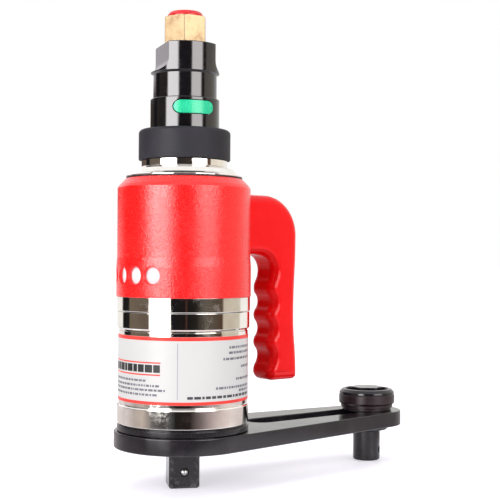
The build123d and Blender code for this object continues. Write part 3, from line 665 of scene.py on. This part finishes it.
def print_piece(name, patches, mat, r=40.575):
    verts, faces = [], []
    for p in patches:
        curved_patch(verts, faces, *p, r=r)
    me = bpy.data.meshes.new(name)
    me.from_pydata([(x * MM, y * MM, z * MM) for x, y, z in verts], [], faces)
    for f in me.polygons:
        f.use_smooth = True
    me.materials.append(mat)
    ob = link(bpy.data.objects.new(name, me))
    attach(ob, "gearbox")
    return ob


FACE = 235.4
print_piece("label_borders", [(0, 360, label_hi[2] - 2.3, label_hi[2] - 0.05), (0, 360, label_lo[2] + 0.05, label_lo[2] + 1.9)], FILM_RED)
print_piece("label_rules", [(FACE - 112, FACE - 19.2, 79.7, 80.5), (FACE - 112, FACE - 19.6, 72.5, 73.3)], FILM_RED, r=40.58)
print_piece("label_divider", [(FACE - 5.1, FACE - 4.4, 58.6, 91.9)], INK_GREY)
rng = random.Random(11)


def words(a_start, a_end, z, height, lo=1.2, hi=5.0, gap=0.9, from_right=False):
    """Short bars with gaps: generic print, no lettering."""
    out, a = [], 0.0
    total = abs(a_end - a_start)
    while a < total - 0.8:
        w = min(rng.uniform(lo, hi), total - a)
        if from_right:
            out.append((a_end - a - w, a_end - a, z - height / 2, z + height / 2))
        else:
            out.append((a_start + a, a_start + a + w, z - height / 2, z + height / 2))
        a += w + gap
    return out


bold = []
a = FACE - 19.8
for w in (6.2, 7.4, 6.6, 4.6, 7.0, 3.6, 7.2, 6.0, 7.4):
    bold.append((a - w, a, 74.3, 78.9))
    a -= w + 0.95
print_piece("label_emblem_bars", bold, INK)
fine = []
for z, end in ((69.3, 33.5), (66.4, 20.6), (63.8, 15.3), (61.0, 22.5)):
    fine += words(FACE - 112, FACE - end, z, 1.3, from_right=True)
for z, start in ((88.8, 43.0), (85.6, 42.6), (82.0, 36.2), (76.8, 60.0), (69.6, 52.0), (64.8, 28.8), (62.4, 56.5)):
    fine += words(FACE + start, FACE + 80, z, 1.45)
print_piece("label_fine_print", fine, INK_FINE)
print_piece("label_heavy_print", words(FACE + 3.5, FACE + 80, 59.6, 1.6, 2.0, 6.0, 1.1), INK_DARK)

# ------------------------------------------------------------------ red motor housing
housing = lathe("housing_shell", [
    (34.05, 118.52), (42.0, 118.52, 0.35), (42.0, 137.3, 3.0), (41.6, 142.6, 3.0), (41.6, 185.7, 1.6), (40.3, 187.7, 1.2),
    (36.6, 191.5, 0.5), (36.2, red_hi[2]), (30.0, red_hi[2]), (30.0, 187.5), (34.05, 187.5), (34.05, 141.0), (39.8, 141.0), (39.8, 124.2),
    (34.05, 124.2),
], RED, steps=5)
for m in list(housing.modifiers):
    housing.modifiers.remove(m)
tools = []
for k in range(4):
    t = lathe(f"hole{k}", [(0, 26.0), (5.05, 26.0), (5.05, 41.2), (5.95, 42.3), (5.95, 46.0), (0, 46.0)], RED, segs=64)
    t.modifiers.clear()
    t.data.transform(Matrix.Diagonal((1000, 1000, 1000, 1)))
    t.data.transform(radial(208.4 - 18 * k, 131.8))
    t.data.transform(Matrix.Diagonal((MM, MM, MM, 1)))
    tools.append(t)
cut(housing, tools)
finish_mesh(housing, 40)
put(housing, "motor", "red_paint", "motor_housing")

felt_ring = lathe("silencer_felt", [(34.4, 124.4), (39.65, 124.4, 0.3), (39.65, 140.6, 0.3), (34.4, 140.6)], FELT)
put(felt_ring, "motor", "white_felt", "exhaust_silencer")

# ------------------------------------------------------------------ grip
H_TOP, H_BOT = handle_hi[2], handle_lo[2]
G_BOT = handle_hi[0]
G_OUT, G_WAIST, G_IN, DIP = G_BOT - 0.6, G_BOT - 2.2, G_BOT - 24.6, 3.3
KNOTS = (68.0, 78.6, 87.2, 96.3, 105.0, 113.9, 122.5, 134.5)
WAIST_Z, TURN_R, CROOK_R, HEEL_R, TOE_R = 106.0, 26.0, 10.5, 3.4, 5.7
HALF, ROUND = (handle_hi[1] - handle_lo[1]) / 2, 6.0


def s_curve(p, q, n=10, skip_first=True):
    """Two equal tangent arcs from p to q, both ends vertical."""
    (x0, y0), (x1, y1) = p, q
    dx, dy = x1 - x0, y1 - y0
    if abs(dx) < 1e-9:
        return [(x0, y0 + dy * k / n) for k in range(1 if skip_first else 0, n + 1)]
    r = (dx * dx + dy * dy) / (4 * abs(dx))
    t_max = math.asin(min(1, abs(dy) / 2 / r))
    pts = []
    for k in range(1 if skip_first else 0, n + 1):
        u = k / n
        if u <= 0.5:
            t = t_max * u * 2
            pts.append((x0 + math.copysign(r * (1 - math.cos(t)), dx), y0 + math.copysign(r * math.sin(t), dy)))
        else:
            t = t_max * (1 - u) * 2
            pts.append((x1 - math.copysign(r * (1 - math.cos(t)), dx), y1 - math.copysign(r * math.sin(t), dy)))
    return pts


def arc(cx, cy, r, a0, a1, n, skip_first=True):
    return [(cx + r * math.cos(math.radians(a0 + (a1 - a0) * k / n)), cy + r * math.sin(math.radians(a0 + (a1 - a0) * k / n)))
            for k in range(1 if skip_first else 0, n + 1)]


ROOT = 38.6
path = [(ROOT, H_TOP)]
path += [(ROOT + (G_OUT - TURN_R - ROOT) * k / 6, H_TOP) for k in range(1, 7)]
path += arc(G_OUT - TURN_R, H_TOP - TURN_R, TURN_R, 90, 0, 24)
path += s_curve((G_OUT, H_TOP - TURN_R), (G_WAIST, WAIST_Z), 16)
path += s_curve((G_WAIST, WAIST_Z), (G_BOT, H_BOT + HEEL_R), 14)
path += arc(G_BOT - HEEL_R, H_BOT + HEEL_R, HEEL_R, 0, -90, 10)
path += [(G_BOT - HEEL_R + (G_IN + TOE_R - G_BOT + HEEL_R) * k / 6, H_BOT) for k in range(1, 7)]
path += arc(G_IN + TOE_R, H_BOT + TOE_R, TOE_R, -90, -180, 10)
for i in range(len(KNOTS) - 1):
    path += s_curve((G_IN + (DIP if i % 2 else 0), KNOTS[i]), (G_IN + (0 if i % 2 else DIP), KNOTS[i + 1]), 12)
path += arc(G_IN + DIP - CROOK_R, KNOTS[-1], CROOK_R, 0, 90, 12)
crook_x = G_IN + DIP - CROOK_R
path += [(crook_x + (ROOT - crook_x) * k / 5, KNOTS[-1] + CROOK_R) for k in range(1, 6)]
n = len(path)
normals = []
for i in range(n):
    a = Vector(path[i - 1]) if i else Vector(path[0]) * 2 - Vector(path[1])
    b = Vector(path[i + 1]) if i < n - 1 else Vector(path[-1]) * 2 - Vector(path[-2])
    t = (b - a).normalized()
    normals.append(Vector((t.y, -t.x)))      # the way round is clockwise, so this points into the material
verts, faces = [], []
levels = []
STEPS = 8
for s in range(STEPS + 1):
    t = math.pi / 2 * s / STEPS
    levels.append((-(HALF - ROUND) - ROUND * math.cos(t), ROUND * (1 - math.sin(t))))
levels += [(-y, d) for y, d in reversed(levels)]
levels.insert(STEPS + 1, (0.0, 0.0))
for y, d in levels:
    for (px, pz), nn in zip(path, normals):
        qx, qz = px + nn.x * d, pz + nn.y * d
        if pz < 68:
            qx, qz = max(min(qx, G_BOT - d), G_IN + d), max(qz, H_BOT + d)
        verts.append((qx, y, qz))
for l in range(len(levels) - 1):
    for i in range(n):
        j = (i + 1) % n
        faces.append([l * n + i, l * n + j, (l + 1) * n + j, (l + 1) * n + i])
faces.append(list(range(n)))
faces.append(list(range((len(levels) - 1) * n, len(levels) * n)))
grip = mesh_object("finger_grip", verts, faces, GRIP)
bm = bmesh.new()
bm.from_mesh(grip.data)
bmesh.ops.triangulate(bm, faces=[f for f in bm.faces if len(f.verts) > 8])
bm.to_mesh(grip.data)
bm.free()
# faces facing the housing and the underside of the crook take the darker red second material: painted shade
grip.data.materials.append(GRIP_PAINTED_SHADE)
for f in grip.data.polygons:
    if f.normal.x < -0.3 or (f.normal.z < -0.35 and f.center.z > KNOTS[-1] * MM):
        f.material_index = 1
finish_mesh(grip, 50)
put(grip, "motor", "red_grip", "handle")

# ------------------------------------------------------------------ charcoal direction ring
rr = ring_hi[0]
ring = lathe("ring_skin", [
    (21.9, ring_lo[2]), (rr, ring_lo[2], 0.5), (rr, ring_hi[2], 3.4), (23.4, ring_hi[2], 0.6), (22.6, ring_hi[2] - 0.8), (21.9, ring_hi[2] - 0.8),
], CHARCOAL, steps=8)
put(ring, "ring", "charcoal_rubber", "direction_ring")

# ------------------------------------------------------------------ valve head
VR = 21.6
BUTTON_DEG, BUTTON_Z = -108.0, 234.8
head = lathe("valve_head", [
    (14.5, valve_lo[2]), (21.3, valve_lo[2]), (21.3, 222.9), (VR, 222.9), (VR, 241.4, 0.7), (19.9, 241.4, 0.15),
    (19.9, 256.6, 0.5), (21.5, 257.4, 0.5), (21.5, valve_hi[2], 0.6), (10.6, valve_hi[2]), (10.6, 250.0), (5.0, 246.0), (5.0, 224.0), (14.5, 224.0),
], ANODISE, steps=4)
head.modifiers.clear()
tools = []
for side in (162, -18):
    prof = [(15.0, 264.6)] + [
        (15.0 + 6.7 - 6.7 * math.cos(math.radians(t)), 264.6 - 6.7 * math.sin(math.radians(t))) for t in (12, 24, 36, 48, 60, 72, 84)
    ] + [(24.0, 257.9), (40.0, 257.9), (40.0, 290.0), (15.0, 290.0)]
    a = math.radians(side)
    m = Matrix(((math.cos(a), 0, -math.sin(a), 0), (math.sin(a), 0, math.cos(a), 0), (0, 1, 0, 0), (0, 0, 0, 1)))
    tools.append(prism(f"flat{side}", prof, -32, 32, ANODISE, m))
pocket = prism("pocket", stadium(25.2 + 1.1, 7.9 + 1.1, 20), 12.6, 30, ANODISE, radial(BUTTON_DEG, BUTTON_Z))
tools.append(pocket)
cut(head, tools)
bevel(head, 0.25, 2, 42)
finish_mesh(head, 30)
put(head, "motor", "black_anodised", "valve_body")

button = prism("button_cap", stadium(25.2, 7.9, 20), 15.6, 30, GREEN, radial(BUTTON_DEG, BUTTON_Z))
crown = lathe("crown", [(0, BUTTON_Z - 12), (VR + 0.5, BUTTON_Z - 12), (VR + 0.5, BUTTON_Z + 12), (0, BUTTON_Z + 12)], GREEN, segs=256)
crown.modifiers.clear()
cut(button, [crown], "INTERSECT")
bevel(button, 1.7, 6, 50)
finish_mesh(button, 40)
put(button, "start", "green_plastic", "start_button")

# ------------------------------------------------------------------ brass bush and its transit plug
AF = 25.0
hexa = [(AF / math.sqrt(3) * math.cos(math.radians(-127 + 60 * k)), AF / math.sqrt(3) * math.sin(math.radians(-127 + 60 * k))) for k in range(6)]
bush = prism("inlet_hexagon", hexa, 275.22, bush_hi[2], BRASS)
turn = lathe("turn", [(0, 270.0), (16.0, 270.0), (16.0, 290.9), (13.3, bush_hi[2] + 0.1), (13.3, 300.0), (0, 300.0)], BRASS, segs=192)
turn.modifiers.clear()
cut(bush, [turn], "INTERSECT")
cut(bush, [prism("bore", circle(9.3, 96), 270.0, 300.0, BRASS)])
cut(bush, [prism("mouth", circle(10.55, 96), 287.0, 300.0, BRASS)])
bevel(bush, 0.42, 2, 25)
finish_mesh(bush, 24)
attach(bush, "motor")
spigot = lathe("inlet_spigot", [(7.1, 261.3), (10.5, 261.3, 0.3), (10.5, 275.3), (9.3, 275.3), (9.3, 273.2), (7.1, 273.2)], BRASS, segs=96)
put(spigot, "motor", "brass")
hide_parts("inlet_bush")

pz = plug_hi[2]
plug = lathe("plug_dome", [
    (0, pz - 9.3), (9.7, pz - 9.3, 0.4), (10.4, pz - 8.5, 0.3), (10.4, bush_hi[2] + 0.06), (11.35, bush_hi[2] + 0.06, 0.3),
    (11.35, pz - 3.0, 1.2), (9.9, pz - 0.9, 1.5), (6.0, pz - 0.05, 2.0), (0, pz),
], PLUG, segs=128, steps=5)
put(plug, "plug", "red_plug", "inlet_plug")

# ------------------------------------------------------------------ reaction arm
AR, AE, AL = 43.0, 24.0, 159.0
a0, a1 = arm_lo[2], arm_hi[2]
tp = math.degrees(math.asin((AR - AE) / AL))
outline = arc(0, 0, AR, 90 - tp, 270 + tp, 96, False) + arc(AL, 0, AE, -90 + tp, 90 - tp, 48, False)
arm = prism("arm_plate", outline, a0, a1, OXIDE_ARM)
slot_cut = prism("slotcut", [(x + (AL + 62.7) / 2, y) for x, y in stadium(AL - 62.7 + 19.4, 19.4, 24)], a0 - 3, a1 + 3, OXIDE)
hub_cut = prism("hubcut", circle(30.4, 96), a0 - 3, a1 + 3, OXIDE)
rim_cut = prism("rimcut", circle(33.6, 96), a0 - 3, a0 + 2.8, OXIDE)
cut(arm, [slot_cut, hub_cut, rim_cut])
bevel(arm, 0.75, 3, 40)
finish_mesh(arm, 30)
put(arm, "gearbox", "black_oxide", "reaction_arm")

# ------------------------------------------------------------------ foot, washer and clamp nut
fx = 159.0
post = lathe("foot_shank", [
    (0, post_lo[2]), (9.5, post_lo[2], 1.3), (9.5, 20.8), (9.1, 20.9), (9.1, 21.7), (14.6, 21.7, 0.8), (14.6, 25.2, 0.2), (9.2, 25.2), (9.2, 35.2),
    (7.9, 35.3), (7.9, post_hi[2], 0.7), (0, post_hi[2]),
], OXIDE_MATT, segs=128, centre=(fx, 0), steps=4)
post.modifiers.clear()
drill = prism("drill", circle(2.4, 40), 4.0, 14.0, OXIDE, Matrix.Translation((fx, 0, 0)) @ radial(-57, 7.4))
cut(post, [drill])
bevel(post, 0.2, 2, 45)
finish_mesh(post, 30)
put(post, "foot", "black_oxide", "foot_post")

washer = lathe("clamp_washer", [(8.1, 35.62), (17.2, 35.62, 0.4), (17.2, 37.4, 0.3), (8.1, 37.4)], OXIDE_DARK, segs=128, centre=(fx, 0))
put(washer, "foot", "black_oxide", "foot_washer")

nut = lathe("clamp_nut", [
    (8.1, 37.5), (18.2, 37.5, 0.3), (18.2, 39.4, 0.4), (19.6, 40.7, 0.6), (19.6, 46.1, 0.3), (19.15, 46.5, 0.12), (19.15, 46.8, 0.12),
    (19.4, 47.1, 0.2), (19.3, 48.4, 0.9), (17.4, 50.2, 0.9), (15.4, 50.4, 0.3), (14.9, 49.6, 0.3), (14.9, 46.8), (8.1, 46.8),
], OXIDE_DARK, segs=160, centre=(fx, 0))
nut.data.materials.append(OXIDE)
for f in nut.data.polygons:
    if f.center.z > 46.9 * MM:
        f.material_index = 1
put(nut, "foot_nut", "black_oxide", "foot_knob")
hx = [(fx + 11.4 * math.cos(math.radians(22 + 60 * k)), 11.4 * math.sin(math.radians(22 + 60 * k))) for k in range(6)]
boss = prism("nut_hexagon", hx, 46.6, knob_hi[2], OXIDE)
cone = lathe("cone", [(0, 40.0), (14.0, 40.0), (14.0, knob_hi[2] - 2.2), (10.1, knob_hi[2] + 0.05), (10.1, 54.0), (0, 54.0)], OXIDE, segs=96, centre=(fx, 0))
cone.modifiers.clear()
cut(boss, [cone], "INTERSECT")
cut(boss, [prism("thread", circle(8.0, 64, fx), 40.0, knob_hi[2] - 1.0, OXIDE_DARK)])
bevel(boss, 0.2, 2, 25)
finish_mesh(boss, 24)
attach(boss, "foot_nut")

# ------------------------------------------------------------------ CAD nodes that stay, each with its material
KEEP = {
    "output_spindle": OXIDE_MATT, "output_carrier_plate": GEAR, "output_planet_pins": STEEL, "output_inner_race": STEEL,
    "detent_ball": BALL, "detent_spring": STEEL, "reaction_spline_hub": OXIDE, "hub_screws": OXIDE, "output_seal": SEAL,
    "output_outer_race": STEEL, "output_bearing_balls": STEEL, "annulus_gear": GEAR, "reaction_circlip": OXIDE,
    "second_carrier": GEAR, "second_planet_pins": STEEL, "first_carrier": GEAR, "first_planet_pins": STEEL,
    "motor_rotor": GEAR, "rotor_vanes": LAMINATE, "rotor_inner_races": STEEL, "rotor_outer_races": STEEL,
    "rotor_bearing_balls": STEEL, "motor_liner": GEAR, "lower_end_plate": ALLOY, "upper_end_plate": ALLOY,
    "handle_bolts": OXIDE, "inlet_screen": BRASS, "ring_pin": STEEL, "reversing_sleeve": BRASS, "valve_stem": STEEL,
    "button_spring": STEEL,
}
for stage in ("output", "second", "first"):
    for i in (1, 2, 3):
        KEEP[f"{stage}_planet_{i}"] = GEAR
for name, mat in KEEP.items():
    ob = NODES[name]
    if not ob.material_slots:
        ob.data.materials.append(mat)
    for s in ob.material_slots:
        s.material = mat

# ------------------------------------------------------------------ floor, studio and lights
floor_m, nt, p = tree("floor_pale")
p.inputs["Base Color"].default_value = (0.80, 0.79, 0.84, 1)
p.inputs["Roughness"].default_value = 0.55
p.inputs["Specular IOR Level"].default_value = 0.3
p.inputs["Emission Color"].default_value = (0.975, 0.955, 1.0, 1)
p.inputs["Emission Strength"].default_value = 0.50
bm = bmesh.new()
bmesh.ops.create_grid(bm, x_segments=1, y_segments=1, size=12)
me = bpy.data.meshes.new("floor")
bm.to_mesh(me)
bm.free()
me.materials.append(floor_m)
floor = link(bpy.data.objects.new("floor", me))
floor.location = (0, 0, -0.0004)
floor.visible_glossy = False
table = mesh_object("table_top", [(x + 60, y - 40, 0) for x, y in circle(190, 96)], [list(range(96))], floor_m)
table.location = (0, 0, -0.0002)

# the studio seen in polished metal: soft boxes, dark flags and white paper, by direction
world = bpy.data.worlds.new("studio")
scene.world = world
world.use_nodes = True
wt = world.node_tree
wt.nodes.clear()
out = wt.nodes.new("ShaderNodeOutputWorld")
tc = wt.nodes.new("ShaderNodeTexCoord")


def dot(v):
    d = wt.nodes.new("ShaderNodeVectorMath")
    d.operation = "DOT_PRODUCT"
    wt.links.new(tc.outputs["Generated"], d.inputs[0])
    d.inputs[1].default_value = v
    return d.outputs["Value"]


TO_CAM = (math.cos(math.radians(235.4)), math.sin(math.radians(235.4)), 0)
RIGHT = (-TO_CAM[1], TO_CAM[0], 0)
at = wt.nodes.new("ShaderNodeMath")
at.operation = "ARCTAN2"
wt.links.new(dot(RIGHT), at.inputs[0])
wt.links.new(dot(TO_CAM), at.inputs[1])
az = remap(wt, at.outputs[0], -math.pi, math.pi, 0.0, 1.0)


def u(deg):
    return 0.5 + deg / 360.0


WHITE = (1.0, 0.985, 0.955)
low = ramp(wt, az, [
    (0.0, (1, 1, 1)), (u(-130), WHITE), (u(-127), grey(0.012)), (u(-107), grey(0.014)), (u(-105), (0.17, 0.135, 0.10)),
    (u(-61), (0.15, 0.115, 0.088)), (u(-57.5), (9.0, 9.0, 8.8)), (u(-26), (9.0, 9.0, 8.8)), (u(-22.0), (0.010, 0.010, 0.012)),
    (u(3), (0.014, 0.010, 0.010)), (u(5), (0.10, 0.045, 0.035)), (u(7), (0.012, 0.010, 0.010)), (u(22), (0.02, 0.017, 0.014)),
    (u(40), (0.13, 0.11, 0.09)), (u(58), (0.10, 0.075, 0.055)), (u(70), (0.085, 0.045, 0.03)), (u(73), (0.60, 0.53, 0.43)),
    (u(112), (0.66, 0.60, 0.50)), (u(117), WHITE),
])
high = ramp(wt, az, [
    (0.0, (1, 1, 1)), (u(-172), WHITE), (u(-164), (0.11, 0.085, 0.07)), (u(-126), (0.13, 0.10, 0.085)), (u(-120), grey(0.012)),
    (u(-107), grey(0.014)), (u(-105), (0.15, 0.12, 0.095)), (u(-67), (0.15, 0.12, 0.095)), (u(-62), (11.4, 11.0, 11.1)), (u(-26), (11.4, 11.0, 11.1)), (u(-20), (0.03, 0.026, 0.024)),
    (u(21), (0.05, 0.035, 0.03)), (u(25), (7.6, 7.3, 7.2)), (u(57), (7.6, 7.3, 7.2)), (u(63), (0.12, 0.07, 0.05)),
    (u(72), (0.12, 0.07, 0.05)), (u(76), (0.92, 0.85, 0.74)), (u(126), (0.95, 0.88, 0.78)), (u(130), WHITE),
])
sep = wt.nodes.new("ShaderNodeSeparateXYZ")
wt.links.new(tc.outputs["Generated"], sep.inputs[0])
up_mix = remap(wt, sep.outputs["Z"], 0.005, 0.05, 0.0, 1.0)


def mix_colour(fac, a, b):
    m = wt.nodes.new("ShaderNodeMix")
    m.data_type = "RGBA"
    if fac is not None:
        wt.links.new(fac, m.inputs["Factor"])
    for socket, v in (("A", a), ("B", b)):
        if isinstance(v, tuple):
            m.inputs[socket].default_value = (*v, 1)
        else:
            wt.links.new(v, m.inputs[socket])
    return m.outputs["Result"]


under = ramp(wt, az, [
    (0.0, (0.86, 0.79, 0.79)), (u(-116), (0.78, 0.71, 0.72)), (u(-93), (0.52, 0.46, 0.43)), (u(-74), (0.60, 0.51, 0.46)),
    (u(-60), (0.30, 0.27, 0.25)), (u(-54), (0.13, 0.12, 0.12)), (u(-35), (0.06, 0.053, 0.053)), (u(-21), (0.08, 0.08, 0.08)),
    (u(-12), (0.018, 0.014, 0.014)), (u(12), (0.022, 0.015, 0.014)), (u(32), (0.21, 0.17, 0.17)), (u(54), (0.52, 0.43, 0.42)),
    (u(81), (0.84, 0.73, 0.71)), (u(116), (0.76, 0.68, 0.68)), (u(150), (0.76, 0.68, 0.68)),
])
far_left = wt.nodes.new("ShaderNodeMath")
far_left.operation = "MULTIPLY"
wt.links.new(remap(wt, az, u(-134), u(-128), 1.0, 0.0), far_left.inputs[0])
wt.links.new(remap(wt, sep.outputs["Z"], 0.140, 0.156, 0.0, 1.0), far_left.inputs[1])
high = mix_colour(far_left.outputs[0], high, (1.25, 1.17, 1.23))
band = mix_colour(up_mix, low, high)
band = mix_colour(remap(wt, sep.outputs["Z"], -0.128, -0.104, 0.0, 1.0), under, band)
band = mix_colour(remap(wt, sep.outputs["Z"], -0.34, -0.20, 0.0, 1.0), (0.90, 0.88, 0.93), band)
top_mix = remap(wt, sep.outputs["Z"], 0.46, 0.60, 0.0, 1.0)
glossy = mix_colour(top_mix, band, (1.1, 1.1, 1.1))
diffuse = mix_colour(remap(wt, sep.outputs["Z"], -0.1, 0.9, 0.0, 1.0), (0.42, 0.42, 0.44), (0.62, 0.62, 0.63))
lp = wt.nodes.new("ShaderNodeLightPath")
some = mix_colour(lp.outputs["Is Glossy Ray"], diffuse, glossy)
seen = mix_colour(lp.outputs["Is Camera Ray"], some, (1.0, 1.0, 1.0))
bg = wt.nodes.new("ShaderNodeBackground")
bg.inputs["Strength"].default_value = 1.0
wt.links.new(seen, bg.inputs["Color"])
wt.links.new(bg.outputs[0], out.inputs["Surface"])


def area(name, location, target, size, power, colour=(1, 1, 1)):
    d = bpy.data.lights.new(name, "AREA")
    d.shape = "RECTANGLE"
    d.size, d.size_y = size
    d.energy = power
    d.color = colour
    ob = link(bpy.data.objects.new(name, d))
    ob.location = location
    ob.rotation_euler = (Vector(target) - Vector(location)).to_track_quat("-Z", "Y").to_euler()
    ob.visible_camera = False
    ob.visible_glossy = False
    return ob


def about(deg, dist, z):
    a = math.radians(235.4 + deg)
    return (math.cos(a) * dist, math.sin(a) * dist, z)


area("key_left", about(-42, 1.3, 0.65), (0, 0, 0.14), (0.9, 0.9), 12)
area("fill_right", about(44, 1.4, 0.75), (0.05, 0, 0.14), (0.7, 0.9), 7)
area("overhead", (0.05, 0.1, 1.6), (0.05, 0, 0), (1.6, 1.6), 8)
